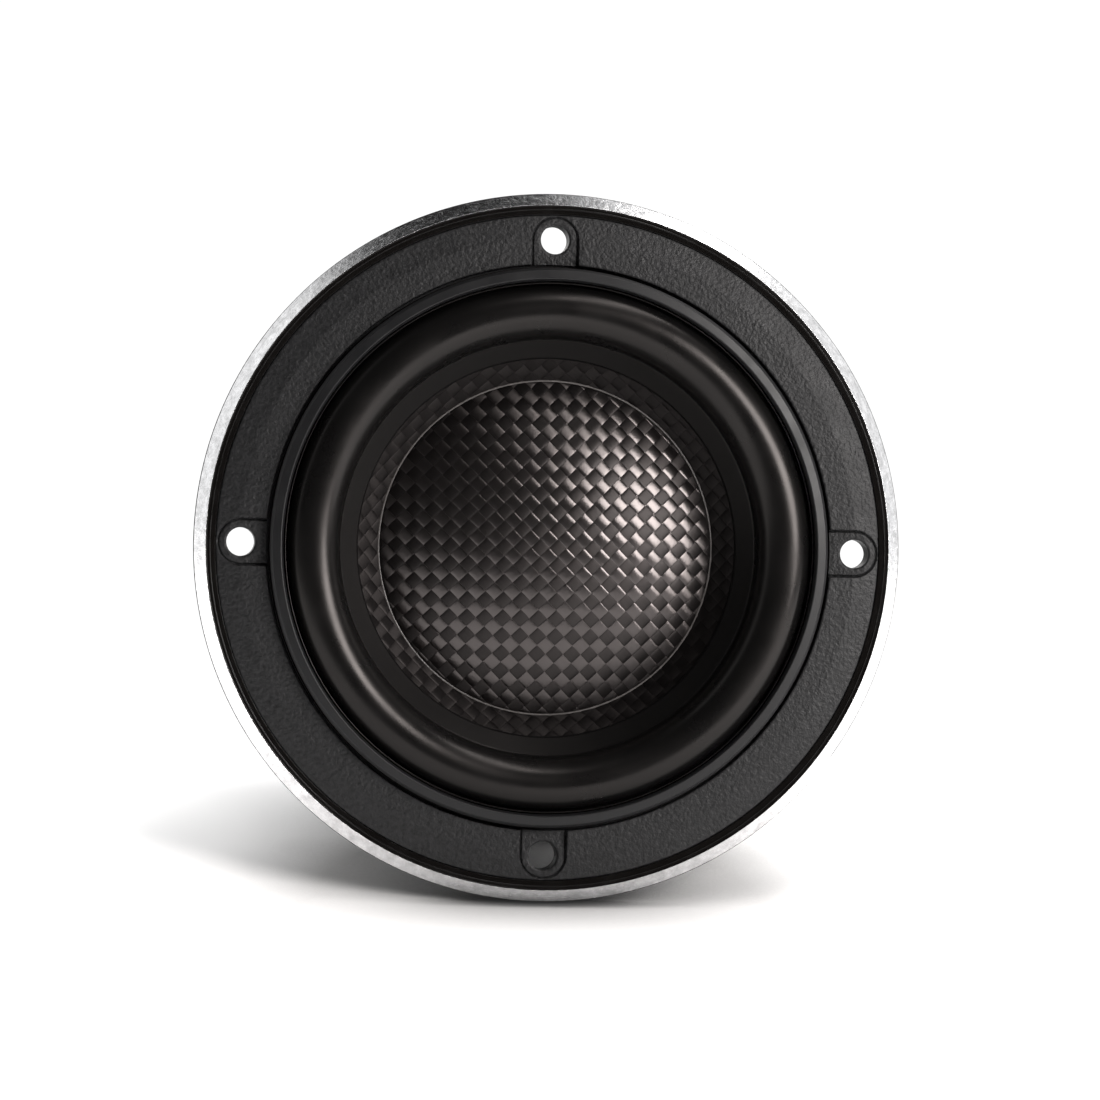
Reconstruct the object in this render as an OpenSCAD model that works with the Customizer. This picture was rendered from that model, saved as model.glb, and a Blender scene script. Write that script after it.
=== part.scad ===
// Four-inch car subwoofer driver: die-cast basket, woven carbon cone and dome, ferrite motor.
// Each module is drawn with the driver's axis along +Z and the listener at +Z, then stand()
// turns it so that the front faces -Y and +Z is up. The origin is the centre of the mounting
// gasket's rear face, where the driver meets its panel.

/* [Flange] */
// Outside diameter of the flange
flange_d = 114; // [112:0.5:117]
// Width of the polished chamfer round the flange's front edge
chamfer_w = 1.9; // [1.2:0.1:2.4]
// Height of the flange's front edge above the mounting plane
flange_h = 5.5; // [5.2:0.1:6]
// Diameter of the circle that the four mounting holes lie on
bolt_circle_d = 99; // [98.6:0.1:99.4]
// Diameter of a mounting hole
bolt_hole_d = 4.6; // [4:0.1:5]
// Depth that each mounting pad is sunk at its inner end
pad_sink = 0.75; // [0.4:0.05:0.9]

/* [Cone] */
// Diameter of the cone's glued edge
cone_d = 66.8; // [66.4:0.1:67.2]
// Angle of the cone's wall to its rim plane, in degrees
cone_angle = 34; // [32:0.5:35]
// Diameter of the dome where it meets the cone
dome_d = 54.2; // [52:0.2:55]
// Height of the dome above its edge
dome_rise = 7.6; // [6:0.1:8.5]
// Thickness of the cone and dome laminate
skin_t = 0.6; // [0.5:0.05:0.7]

/* [Suspension] */
// Outside radius of the surround's half roll
roll_r = 4.2; // [4:0.05:4.3]
// Thickness of the surround's rubber
rubber_t = 0.9; // [0.7:0.05:1.1]
// Radius of each wave of the spider, at the middle of its cloth
spider_wave_r = 0.9; // [0.8:0.05:0.95]
// Thickness of the spider's cloth
cloth_t = 0.5; // [0.4:0.05:0.6]

/* [Motor] */
// Inside diameter of the voice coil former
coil_d = 25.5; // [25.4:0.05:25.6]
// Length of the voice coil winding
winding_h = 14; // [12:0.5:14.5]
// Diameter of the ferrite ring
magnet_d = 80; // [76:1:80]
// Thickness of the ferrite ring
magnet_t = 16; // [16:0.5:18]
// Thickness of the top plate
plate_t = 6; // [5:0.5:6]
// Diameter of the vent through the pole
vent_d = 9; // [7:0.5:9.5]

/* [Hidden] */
$fn = 96;
EPS = 0.01;
FAR = 100;
GLUE = 0.1;
INSET = 0.3;
LAP = 0.1;

// Flange and front ring radii and heights
flange_r = flange_d / 2;
gasket_t = 1.0;
gasket_in_r = 47;
bolt_r = bolt_circle_d / 2;
lip_r = flange_r - chamfer_w - 0.1;
trim_out_r = lip_r - 1.5;
trim_in_r = 45.45;
trim_floor_z = 3.0;
trim_edge_z = flange_h - 0.2;
trim_break_r = 49.6;
trim_break_z = trim_edge_z + 0.9;
trim_top_z = trim_edge_z + 1.25;
pad_half_w = 3.8;
pad_z = trim_break_z - pad_sink;
seat_in_r = 41.9;
seat_z = 4.3;
lip_out_r = 45.1;
clamp_in_r = 42.9;
clamp_out_r = 44.9;
clamp_top_z = 8.7;
lip_top_z = seat_z + 1;

// Basket body
spigot_r = 45.3;
spigot_in_r = 42.3;
spigot_z = -2.5;
leg_angles = [45, 135, 225, 315];
leg_half_angle = 13;
shelf_z = -14;
shelf_t = 2.5;
shelf_in_r = 28.6;
shelf_out_r = 38;
skirt_in_r = 34;
base_r = 37.4;
base_in_r = 17;
base_t = 3;
base_z = -28;
screw_ring_r = 31;
screw_angles = [0, 90, 180, 270];
screw_r = 2;
web_t = 2;

// Cone, dome and coil
cone_r = cone_d / 2;
cone_edge_z = 2.6;
slope = tan(cone_angle);
skin_drop = skin_t / cos(cone_angle);
dome_r = dome_d / 2;
dome_edge_z = cone_edge_z - (cone_r - dome_r) * slope;
dome_radius = (dome_r * dome_r + dome_rise * dome_rise) / (2 * dome_rise);
former_in_r = coil_d / 2;
former_t = 0.2;
former_r = former_in_r + former_t;
collar_r = former_r + 0.25;
neck_z = cone_edge_z - (cone_r - collar_r) * slope;
former_top_z = neck_z + 1.5;
winding_t = 0.6;

// Surround
roll_mid_r = 37.8;
roll_mid_z = lip_top_z;
landing_in_r = 30.5;
landing_t = 0.8;

// Spider
spider_in_r = collar_r + GLUE;
spider_flat_r = 15.4;
spider_waves = 7;
spider_out_r = 33;
spider_z = shelf_z - INSET + cloth_t / 2;

// Motor, from the front backwards
plate_z = base_z;
plate_r = 37;
magnet_z = plate_z - plate_t;
magnet_r = magnet_d / 2;
magnet_in_r = 20;
back_z = magnet_z - magnet_t;
back_t = 5;
back_r = 37.5;
cap_t = 0.35;
pole_r = former_in_r - 0.8;
gap_r = former_r + winding_t + 0.4;
winding_z = plate_z - plate_t / 2;
former_end_z = winding_z - winding_h / 2 - 1.5;
vent_r = vent_d / 2;
rear_z = back_z - back_t;
screen_r = 6.6;
screen_t = 0.8;
boot_t = 1.6;
boot_gap = 0.1;
boot_open_r = 27;

// Terminals, on the leg at this angle
terminal_angle = 135;
pad_face_r = 40.6;
board_t = 1.6;
board_w = 21;
board_top_z = -7.4;
board_h = 11.2;
tab_t = 0.8;
tab_x = 6.6;
tab_z = -11;
blade_end_z = -27.5;
positive_w = 4.75;
negative_w = 2.8;
board_face_r = pad_face_r + board_t;
rivet_head_t = 0.9;
lead_r = 0.6;
lead_hole_r = 1.6;
lead_end_r = collar_r + 0.8;
lead_end_z = -12.1;
lead_end_angle = 24;

module stand() {
    rotate([90, 0, 0]) children();
}

module turned(points) {
    rotate_extrude() polygon(points);
}

module tube(r_out, r_in, low, high) {
    turned([[r_in, low], [r_out, low], [r_out, high], [r_in, high]]);
}

// Moves a child drawn with +X outward to the terminal leg
module at_terminal() {
    rotate([0, 0, terminal_angle]) children();
}

module bolt_holes(low, high) {
    for (a = [0:90:270]) {
        rotate([0, 0, a]) translate([bolt_r, 0, low]) cylinder(d = bolt_hole_d, h = high - low);
    }
}

// Height of the cone's front face at a radius
function cone_z(r) = cone_edge_z - (cone_r - r) * slope;

// ---- Basket and front rings ----

module flange() {
    turned([
        [spigot_in_r, spigot_z], [spigot_r, spigot_z], [spigot_r, gasket_t], [flange_r, gasket_t],
        [flange_r, flange_h - chamfer_w - 0.1], [flange_r - 0.1, flange_h - chamfer_w], [lip_r, flange_h],
        [trim_out_r + 0.05, flange_h], [trim_out_r + 0.05, trim_floor_z], [trim_in_r - 0.05, trim_floor_z],
        [trim_in_r - 0.05, seat_z], [seat_in_r, seat_z], [seat_in_r, gasket_t]
    ]);
}

module legs() {
    for (a = leg_angles) {
        rotate([0, 0, a - leg_half_angle]) rotate_extrude(angle = 2 * leg_half_angle) polygon([
            [spigot_in_r + INSET, spigot_z + 1.5], [spigot_r - INSET, spigot_z + 1.5],
            [spigot_r - INSET, spigot_z], [shelf_out_r, shelf_z], [base_r, shelf_z - shelf_t],
            [base_r, base_z + INSET], [skirt_in_r, base_z + INSET], [skirt_in_r, shelf_z],
            [spigot_in_r + INSET, spigot_z]
        ]);
    }
}

// Rib that runs down the middle of each leg but the terminal's
module leg_ribs() {
    for (a = leg_angles) {
        if (a != terminal_angle) {
            rotate([90, 0, a]) translate([0, 0, -web_t / 2]) linear_extrude(web_t) polygon([
                [spigot_r - 1.5, spigot_z + 1], [spigot_r - 0.6, spigot_z + 1],
                [spigot_r - 0.6, spigot_z - 1], [shelf_out_r + 2.6, shelf_z],
                [base_r + 2.2, shelf_z - shelf_t - 2], [base_r + 0.6, base_z + 2 * INSET],
                [base_r - 1, base_z + 2 * INSET], [base_r - 1, shelf_z]
            ]);
        }
    }
}

// Ring that carries the spider, and the plate that the motor is screwed to
module inner_rings() {
    turned([[shelf_in_r, shelf_z - shelf_t], [base_r - INSET, shelf_z - shelf_t],
        [shelf_out_r - 2 * INSET, shelf_z - INSET], [shelf_in_r, shelf_z - INSET]]);
    tube(base_r - INSET, base_in_r, base_z, base_z + base_t);
}

module terminal_pad() {
    at_terminal() translate([pad_face_r - 3.6, -board_w / 2, board_top_z - board_h])
        cube([5, board_w, board_h]);
}

// Flat cut into the terminal leg, where the board lies
module terminal_flat() {
    at_terminal() translate([pad_face_r, -board_w / 2 - 0.2, board_top_z - board_h - 0.2])
        cube([8, board_w + 0.4, board_h + 0.4]);
}

module basket() color([0.09, 0.09, 0.1]) stand() {
    difference() {
        union() {
            flange();
            legs();
            leg_ribs();
            terminal_pad();
            inner_rings();
        }
        bolt_holes(-1, FAR);
        terminal_flat();
        for (a = screw_angles) {
            rotate([0, 0, a]) translate([screw_ring_r, 0, base_z - 1])
                cylinder(r = screw_r + 0.15, h = base_t + 2);
        }
        at_terminal() {
            for (side = [-1, 1]) {
                translate([pad_face_r - 12, side * tab_x, tab_z]) rotate([0, 90, 0])
                    cylinder(r = lead_hole_r, h = 13);
            }
            translate([pad_face_r - 4, 0, tab_z - 2]) rotate([0, 90, 0]) cylinder(r = 1.4, h = 5);
        }
    }
}

module front_trim_ring() color([0.13, 0.13, 0.14]) stand() {
    difference() {
        turned([
            [trim_in_r, trim_floor_z], [trim_out_r, trim_floor_z], [trim_out_r, trim_edge_z],
            [trim_break_r, trim_break_z], [trim_in_r + 0.3, trim_top_z], [trim_in_r, trim_top_z - 0.3]
        ]);
        bolt_holes(0, FAR);
        for (a = [0:90:270]) {
            rotate([0, 0, a]) {
                translate([bolt_r, 0, pad_z]) cylinder(r = pad_half_w, h = FAR);
                translate([trim_in_r - 1, -pad_half_w, pad_z])
                    cube([bolt_r - trim_in_r + 1, 2 * pad_half_w, FAR]);
            }
        }
    }
}

module surround_clamp_ring() color([0.06, 0.06, 0.07]) stand() {
    turned([
        [clamp_in_r, lip_top_z], [clamp_out_r, lip_top_z],
        [clamp_out_r, clamp_top_z - 0.7], [clamp_out_r - 0.3, clamp_top_z - 0.4],
        [clamp_in_r + 0.4, clamp_top_z], [clamp_in_r, clamp_top_z - 0.4]
    ]);
}

module mounting_gasket() color([0.05, 0.05, 0.05]) stand() {
    difference() {
        tube(flange_r - 0.4, gasket_in_r, 0, gasket_t);
        bolt_holes(-1, 2);
    }
}

// ---- Moving assembly ----

module cone() color([0.17, 0.16, 0.16]) stand() {
    turned([
        [cone_r, cone_edge_z], [cone_r, cone_edge_z - skin_drop], [collar_r, neck_z - skin_drop],
        [collar_r, neck_z]
    ]);
}

module dust_cap() color([0.24, 0.23, 0.23]) stand() {
    rotate_extrude() intersection() {
        translate([0, dome_edge_z + dome_rise - dome_radius]) difference() {
            circle(r = dome_radius);
            circle(r = dome_radius - skin_t);
        }
        polygon([[0, dome_edge_z - 1.2], [dome_r - 1.2 / slope, dome_edge_z - 1.2], [dome_r, dome_edge_z],
            [dome_r, FAR], [0, FAR]]);
    }
}

module voice_coil_former() color([0.72, 0.55, 0.3]) stand() {
    tube(former_r, former_in_r, former_end_z, former_top_z);
}

module voice_coil_winding() color([0.72, 0.36, 0.16]) stand() {
    tube(former_r + winding_t, former_r, winding_z - winding_h / 2, winding_z + winding_h / 2);
}

module former_collar() color([0.45, 0.33, 0.2]) stand() {
    tube(collar_r, former_r, shelf_z - 2, former_top_z);
}

// Small solder pads on the collar, where the tinsel leads end
module lead_pads() color([0.8, 0.8, 0.78]) stand() {
    for (side = [-1, 1]) {
        rotate([0, 0, terminal_angle + side * lead_end_angle]) translate([collar_r, -1.2, lead_end_z - 0.6])
            difference() {
                translate([-0.6, 0, 0]) cube([1.1, 2.4, 0.9]);
                translate([-collar_r, 1.2, -1]) cylinder(r = collar_r, h = 4);
            }
    }
}

// ---- Suspension ----

module surround() color([0.08, 0.08, 0.08]) stand() {
    inner_r = roll_mid_r - roll_r;
    outer_r = roll_mid_r + roll_r;
    leg_r = inner_r + rubber_t;
    rotate_extrude() {
        translate([roll_mid_r, roll_mid_z]) difference() {
            circle(r = roll_r);
            circle(r = roll_r - rubber_t);
            translate([-roll_r - 1, -roll_r - 1]) square([2 * roll_r + 2, roll_r + 1]);
        }
        polygon([
            [inner_r, roll_mid_z], [inner_r, cone_z(inner_r) + GLUE + landing_t],
            [landing_in_r + 0.15, cone_z(landing_in_r) + GLUE + landing_t * 0.7],
            [landing_in_r, cone_z(landing_in_r) + GLUE], [leg_r, cone_z(leg_r) + GLUE],
            [leg_r, roll_mid_z], [leg_r - LAP, roll_mid_z + 5 * LAP], [inner_r + LAP, roll_mid_z + 5 * LAP]
        ]);
        polygon([
            [outer_r - rubber_t, roll_mid_z], [outer_r - rubber_t, seat_z], [lip_out_r, seat_z],
            [lip_out_r, lip_top_z], [outer_r, lip_top_z], [outer_r - LAP, roll_mid_z + 5 * LAP],
            [outer_r - rubber_t + LAP, roll_mid_z + 5 * LAP]
        ]);
    }
}

module half_wave(side) {
    difference() {
        circle(r = spider_wave_r + cloth_t / 2);
        circle(r = spider_wave_r - cloth_t / 2);
        translate([-FAR / 2, side > 0 ? -FAR : 0]) square([FAR, FAR]);
    }
}

module spider() color([0.75, 0.6, 0.25]) stand() {
    last_r = spider_flat_r + spider_waves * 2 * spider_wave_r;
    rotate_extrude() {
        translate([spider_in_r, spider_z - cloth_t / 2])
            square([spider_flat_r + cloth_t / 2 - spider_in_r, cloth_t]);
        for (i = [0:spider_waves - 1]) {
            translate([spider_flat_r + (2 * i + 1) * spider_wave_r, spider_z])
                half_wave(i % 2 == 0 ? 1 : -1);
        }
        translate([last_r - cloth_t / 2, spider_z - cloth_t / 2])
            square([spider_out_r - last_r + cloth_t / 2, cloth_t]);
    }
}

// ---- Motor ----

module top_plate() color([0.5, 0.5, 0.52]) stand() {
    difference() {
        turned([[gap_r, plate_z - plate_t], [plate_r - 0.5, plate_z - plate_t], [plate_r, plate_z - plate_t + 0.5],
            [plate_r, plate_z - 0.5], [plate_r - 0.5, plate_z], [gap_r, plate_z]]);
        for (a = screw_angles) {
            rotate([0, 0, a]) translate([screw_ring_r, 0, plate_z - plate_t - 1])
                cylinder(r = screw_r, h = plate_t + 2);
        }
    }
}

module magnet() color([0.16, 0.16, 0.17]) stand() {
    turned([[magnet_in_r, back_z], [magnet_r - 1, back_z], [magnet_r, back_z + 1], [magnet_r, magnet_z - 1],
        [magnet_r - 1, magnet_z], [magnet_in_r, magnet_z]]);
}

module yoke() color([0.55, 0.55, 0.57]) stand() {
    turned([
        [vent_r, rear_z + screen_t + 0.2], [screen_r + 0.1, rear_z + screen_t + 0.2],
        [screen_r + 0.1, rear_z], [back_r - 1.5, rear_z], [back_r, rear_z + 1.5],
        [back_r, back_z], [pole_r, back_z], [pole_r, plate_z + 0.4], [vent_r, plate_z + 0.4]
    ]);
}

module pole_cap() color([0.72, 0.4, 0.25]) stand() {
    turned([
        [pole_r, plate_z - plate_t - 2], [pole_r + cap_t, plate_z - plate_t - 2],
        [pole_r + cap_t, plate_z + 0.4 + cap_t], [vent_r + 1, plate_z + 0.4 + cap_t],
        [vent_r + 1, plate_z + 0.4], [pole_r, plate_z + 0.4]
    ]);
}

module shorting_ring() color([0.8, 0.8, 0.82]) stand() {
    tube(magnet_in_r - 1.5, pole_r, back_z, back_z + 4);
}

module vent_screen() color([0.25, 0.25, 0.26]) stand() {
    difference() {
        translate([0, 0, rear_z + 0.2]) cylinder(r = screen_r, h = screen_t);
        for (ring = [0:2]) {
            count = ring == 0 ? 1 : 6 * ring;
            for (i = [0:count - 1]) {
                rotate([0, 0, i * 360 / count]) translate([ring * 1.75, 0, rear_z - 1])
                    cylinder(r = 0.55, h = 3, $fn = 24);
            }
        }
    }
}

module magnet_boot() color([0.07, 0.07, 0.07]) stand() {
    inside_r = magnet_r + boot_gap;
    outside_r = inside_r + boot_t;
    turned([
        [inside_r, magnet_z + 0.6], [outside_r - 0.5, magnet_z + 0.6], [outside_r, magnet_z],
        [outside_r, rear_z - boot_t + 2], [outside_r - 2, rear_z - boot_t], [boot_open_r + 0.6, rear_z - boot_t],
        [boot_open_r, rear_z - boot_t + 0.6], [boot_open_r, rear_z], [inside_r, rear_z]
    ]);
}

// Cross recess in a screw head whose top is at z = 0
module cross_recess(size, depth) {
    for (a = [0, 90]) {
        rotate([0, 0, a]) translate([-size / 2, -size / 8, -depth]) cube([size, size / 4, depth + 1]);
    }
}

module pan_screw(head_r, head_h, shank_r, shank_l) {
    difference() {
        union() {
            turned([[0, 0], [head_r, 0], [head_r, head_h * 0.6], [head_r * 0.8, head_h], [0, head_h]]);
            translate([0, 0, -shank_l]) cylinder(r = shank_r, h = shank_l + EPS);
        }
        translate([0, 0, head_h]) cross_recess(head_r * 1.2, head_h * 0.6);
    }
}

module basket_screws() color([0.3, 0.3, 0.32]) stand() {
    for (a = screw_angles) {
        rotate([0, 0, a]) translate([screw_ring_r, 0, base_z + base_t])
            pan_screw(2.9, 2, screw_r - 0.05, base_t + plate_t - 1);
    }
}

// ---- Terminals and leads ----

module terminal_board() color([0.12, 0.12, 0.12]) stand() {
    at_terminal() difference() {
        translate([pad_face_r, -board_w / 2, board_top_z - board_h]) cube([board_t, board_w, board_h]);
        for (side = [-1, 1]) {
            translate([pad_face_r - 1, side * tab_x, tab_z]) rotate([0, 90, 0]) cylinder(r = 1, h = 4);
        }
        translate([pad_face_r - 1, 0, tab_z - 2]) rotate([0, 90, 0]) cylinder(r = 1.6, h = 4);
    }
}

// Flat blade riveted to the board, with a chamfered tip that points backwards
module blade(side, width) {
    at_terminal() difference() {
        translate([board_face_r, side * tab_x, 0]) rotate([90, 0, 90]) linear_extrude(tab_t) polygon([
            [-2.6, board_top_z - 1], [2.6, board_top_z - 1], [2.6, tab_z - 3], [width / 2, tab_z - 4],
            [width / 2, blade_end_z + 0.8], [width / 2 - 0.8, blade_end_z], [0.8 - width / 2, blade_end_z],
            [-width / 2, blade_end_z + 0.8], [-width / 2, tab_z - 4], [-2.6, tab_z - 3]
        ]);
        translate([board_face_r - 1, side * tab_x, tab_z]) rotate([0, 90, 0]) cylinder(r = 1, h = 4);
        translate([board_face_r - 1, side * tab_x, blade_end_z + 4]) rotate([0, 90, 0])
            cylinder(r = 0.7, h = 4);
    }
}

module positive_terminal() color([0.8, 0.7, 0.4]) stand() {
    blade(1, positive_w);
}

module negative_terminal() color([0.78, 0.78, 0.78]) stand() {
    blade(-1, negative_w);
}

module terminal_rivets() color([0.75, 0.72, 0.6]) stand() {
    at_terminal() for (side = [-1, 1]) {
        translate([pad_face_r, side * tab_x, tab_z]) rotate([0, 90, 0]) {
            translate([0, 0, -rivet_head_t]) cylinder(r = 1.35, h = rivet_head_t);
            translate([0, 0, -EPS]) cylinder(r = 0.95, h = board_t + tab_t + 2 * EPS);
            translate([0, 0, board_t + tab_t]) turned([[0, 0], [1.7, 0], [1.3, 0.6], [0, 0.6]]);
        }
    }
}

module terminal_screw() color([0.55, 0.55, 0.56]) stand() {
    at_terminal() translate([board_face_r, 0, tab_z - 2]) rotate([0, 90, 0])
        pan_screw(2.3, 1.4, 1.35, 4.6);
}

// A lead's route: inward from its rivet, a low slack bow, then on to its pad on the collar
function lead_point(side, t) =
    let (from_r = pad_face_r - rivet_head_t - 0.2)
    let (to_a = side * lead_end_angle)
    let (start = [from_r, side * tab_x, tab_z])
    let (goal = [lead_end_r * cos(to_a), lead_end_r * sin(to_a), lead_end_z])
    let (ease = t * t * (3 - 2 * t))
    let (bow = sin(180 * t))
    [
        start.x + (goal.x - start.x) * t,
        start.y + (goal.y - start.y) * ease + side * 2.2 * bow * t,
        start.z + (goal.z - start.z) * ease + 1.3 * bow * (1 - 0.35 * t)
    ];

module tinsel_lead(side) {
    rings = 22;
    sides = 8;
    route = [for (i = [0:rings]) lead_point(side, i / rings)];
    points = [
        for (i = [0:rings])
            let (ahead = route[min(i + 1, rings)] - route[max(i - 1, 0)])
            let (forward = ahead / norm(ahead))
            let (across = cross(forward, [0, 0, 1]))
            let (u = across / norm(across))
            let (v = cross(u, forward))
            for (k = [0:sides - 1]) route[i] + lead_r * (cos(k * 360 / sides) * u + sin(k * 360 / sides) * v)
    ];
    walls = [
        for (i = [0:rings - 1])
            for (k = [0:sides - 1])
                [i * sides + k, i * sides + (k + 1) % sides, (i + 1) * sides + (k + 1) % sides,
                    (i + 1) * sides + k]
    ];
    polyhedron(points, concat(
        walls,
        [[for (k = [sides - 1:-1:0]) k]],
        [[for (k = [0:sides - 1]) rings * sides + k]]
    ), convexity = 4);
}

module tinsel_lead_positive() color([0.75, 0.72, 0.7]) stand() {
    at_terminal() tinsel_lead(1);
}

module tinsel_lead_negative() color([0.75, 0.72, 0.7]) stand() {
    at_terminal() tinsel_lead(-1);
}

basket();
front_trim_ring();
surround_clamp_ring();
mounting_gasket();
surround();
spider();
cone();
dust_cap();
voice_coil_former();
voice_coil_winding();
former_collar();
lead_pads();
top_plate();
magnet();
yoke();
pole_cap();
shorting_ring();
vent_screen();
magnet_boot();
basket_screws();
terminal_board();
positive_terminal();
negative_terminal();
terminal_rivets();
terminal_screw();
tinsel_lead_positive();
tinsel_lead_negative();
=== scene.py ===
"""Looks of the subwoofer driver: its front rings, rubber, woven carbon and motor, on a pale floor.

Pieces are drawn in the driver's own terms, in millimetres: a radius r from the axis and a height z
towards the listener. row() turns them into the frame's metres, where the front faces -Y and +Z is up.
"""

import math

import bmesh
import bpy
import numpy as np
from mathutils import Matrix, Vector


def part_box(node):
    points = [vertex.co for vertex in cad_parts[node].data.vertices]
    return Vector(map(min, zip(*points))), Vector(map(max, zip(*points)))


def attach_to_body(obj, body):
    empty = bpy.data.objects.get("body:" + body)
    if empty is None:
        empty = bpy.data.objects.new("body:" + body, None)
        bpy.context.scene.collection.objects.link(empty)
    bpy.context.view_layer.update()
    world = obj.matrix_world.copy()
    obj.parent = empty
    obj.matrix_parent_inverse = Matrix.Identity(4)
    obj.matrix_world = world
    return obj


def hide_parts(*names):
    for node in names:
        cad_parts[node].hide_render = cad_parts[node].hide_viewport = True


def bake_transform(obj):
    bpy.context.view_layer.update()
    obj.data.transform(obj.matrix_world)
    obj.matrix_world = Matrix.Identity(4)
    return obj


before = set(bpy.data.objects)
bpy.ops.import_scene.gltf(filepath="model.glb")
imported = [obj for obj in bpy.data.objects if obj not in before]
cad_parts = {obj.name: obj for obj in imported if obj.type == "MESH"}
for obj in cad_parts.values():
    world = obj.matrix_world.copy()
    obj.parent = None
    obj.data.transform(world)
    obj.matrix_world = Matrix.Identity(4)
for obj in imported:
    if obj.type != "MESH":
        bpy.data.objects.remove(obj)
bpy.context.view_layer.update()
MM = 0.001

# ---- Camera ----

PHOTO_WIDTH = 176.8  # millimetres seen across the picture, at the flange
CAMERA_AWAY = 900
CAMERA_SIDE = math.radians(5)
CAMERA_ROLL = math.radians(1.17)
AIM = Vector((0.18, -5.5, -0.35))
SENSOR = 36

camera_data = bpy.data.cameras.new("camera")
camera_data.sensor_width = SENSOR
camera_data.lens = SENSOR * CAMERA_AWAY / PHOTO_WIDTH
camera_data.clip_start = 0.01
camera_data.clip_end = 20
camera = bpy.data.objects.new("camera", camera_data)
bpy.context.scene.collection.objects.link(camera)
bpy.context.scene.camera = camera
camera_back = Vector((-math.sin(CAMERA_SIDE), -math.cos(CAMERA_SIDE), 0))
camera.location = (AIM + camera_back * CAMERA_AWAY) * MM
camera.rotation_mode = "QUATERNION"
facing = (-camera_back).to_track_quat("-Z", "Y")
camera.rotation_quaternion = facing @ Matrix.Rotation(CAMERA_ROLL, 3, "Z").to_quaternion()

# ---- Sizes, from the frame where it has them ----


def high(node, axis):
    """How far a CAD node reaches along an axis of the row frame, in millimetres."""
    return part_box(node)[1][axis] / MM


def low(node, axis):
    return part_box(node)[0][axis] / MM


def front_z(node):
    """Height of a node's foremost point above the mounting plane."""
    return -low(node, 1)


def back_z(node):
    return -high(node, 1)


RIM_R = high("basket", 0)
FLANGE_Z = 5.5
GASKET_T = front_z("mounting_gasket")
GASKET_R = high("mounting_gasket", 0)
GASKET_IN_R = 47
CHAMFER = 1.9
LIP_R = RIM_R - CHAMFER
TRIM_R = high("front_trim_ring", 0)
TRIM_IN_R = 45.45
TRIM_FLOOR_Z = back_z("front_trim_ring")
TRIM_TOP_Z = front_z("front_trim_ring")
TRIM_BREAK = (49.6, 6.2)
TRIM_EDGE_Z = 5.3
BOLT_R = 49.5
HOLE_R = 2.3
HOLE_ANGLES = (0, 90, 180, 270)
PAD_HALF = 3.8
PAD_Z = 5.45
CLAMP_R = high("surround_clamp_ring", 0)
CLAMP_IN_R = 42.9
CLAMP_Z = front_z("surround_clamp_ring")
ROLL_R = 4.2
ROLL_MID_R = 38.05
ROLL_MID_Z = front_z("surround") - ROLL_R
RUBBER_T = 0.9
LANDING_R = 30.5
CONE_R = high("cone", 0)
CONE_EDGE_Z = front_z("cone")
CONE_SLOPE = math.tan(math.radians(34))
SKIN_T = 0.6
NECK_R = 13.2
DOME_R = high("dust_cap", 0)
DOME_TOP_Z = front_z("dust_cap")
DOME_RISE = 7.6
DOME_BALL_R = (DOME_R**2 + DOME_RISE**2) / (2 * DOME_RISE)
SPIGOT_R = 45.3
SPIGOT_IN_R = 42.3
SPIGOT_Z = -2.5
SEAT_R = 41.9
SEAT_Z = 4.3
LEG_ANGLES = (45, 135, 225, 315)
TERMINAL_ANGLE = 135
LEG_HALF = 13
SHELF_Z = -14
SHELF_T = 2.5
SHELF_IN_R = 28.6
SHELF_R = 38
SKIRT_IN_R = 34
BASE_R = 37.4
BASE_IN_R = 17
BASE_T = 3
BASE_Z = front_z("top_plate")
SPIDER_R = high("spider", 0)
SPIDER_IN_R = 13.3
SPIDER_FLAT_R = 15.4
SPIDER_WAVE_R = 0.9
SPIDER_WAVES = 7
SPIDER_Z = (front_z("spider") + back_z("spider")) / 2
CLOTH_T = 0.5
PLATE_R = high("top_plate", 0)
PLATE_IN_R = 13.95
MAGNET_R = high("magnet", 0)
MAGNET_IN_R = 20
MAGNET_Z = front_z("magnet")
YOKE_Z = back_z("magnet")
YOKE_R = high("yoke", 0)
POLE_R = 11.95
VENT_R = 4.5
SCREEN_R = high("vent_screen", 0)
REAR_Z = back_z("yoke")
BOOT_R = high("magnet_boot", 0)
BOOT_REAR_Z = back_z("magnet_boot")
BOOT_FRONT_Z = front_z("magnet_boot")
BOOT_OPEN_R = 27
SEGMENTS = 256


def row(x, y, z):
    """A point in the row frame, in metres, from driver terms in millimetres."""
    return (x * MM, -z * MM, y * MM)


def cone_z(r):
    return CONE_EDGE_Z - (CONE_R - r) * CONE_SLOPE


# ---- Mesh helpers ----


def add_object(name, data):
    made = bpy.data.objects.new(name, data)
    bpy.context.scene.collection.objects.link(made)
    return made


def shade(mesh, sharp_angle=35):
    """Shades a mesh smooth, but sharp where its faces meet at more than an angle in degrees."""
    mesh.shade_smooth()
    mesh.set_sharp_from_angle(angle=math.radians(sharp_angle))


def add_mesh(name, points, faces, sharp_angle=35):
    mesh = bpy.data.meshes.new(name)
    mesh.from_pydata([tuple(p) for p in points], [], [tuple(f) for f in faces])
    mesh.validate()
    mesh.update()
    shade(mesh, sharp_angle)
    return add_object(name, mesh)


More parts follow.
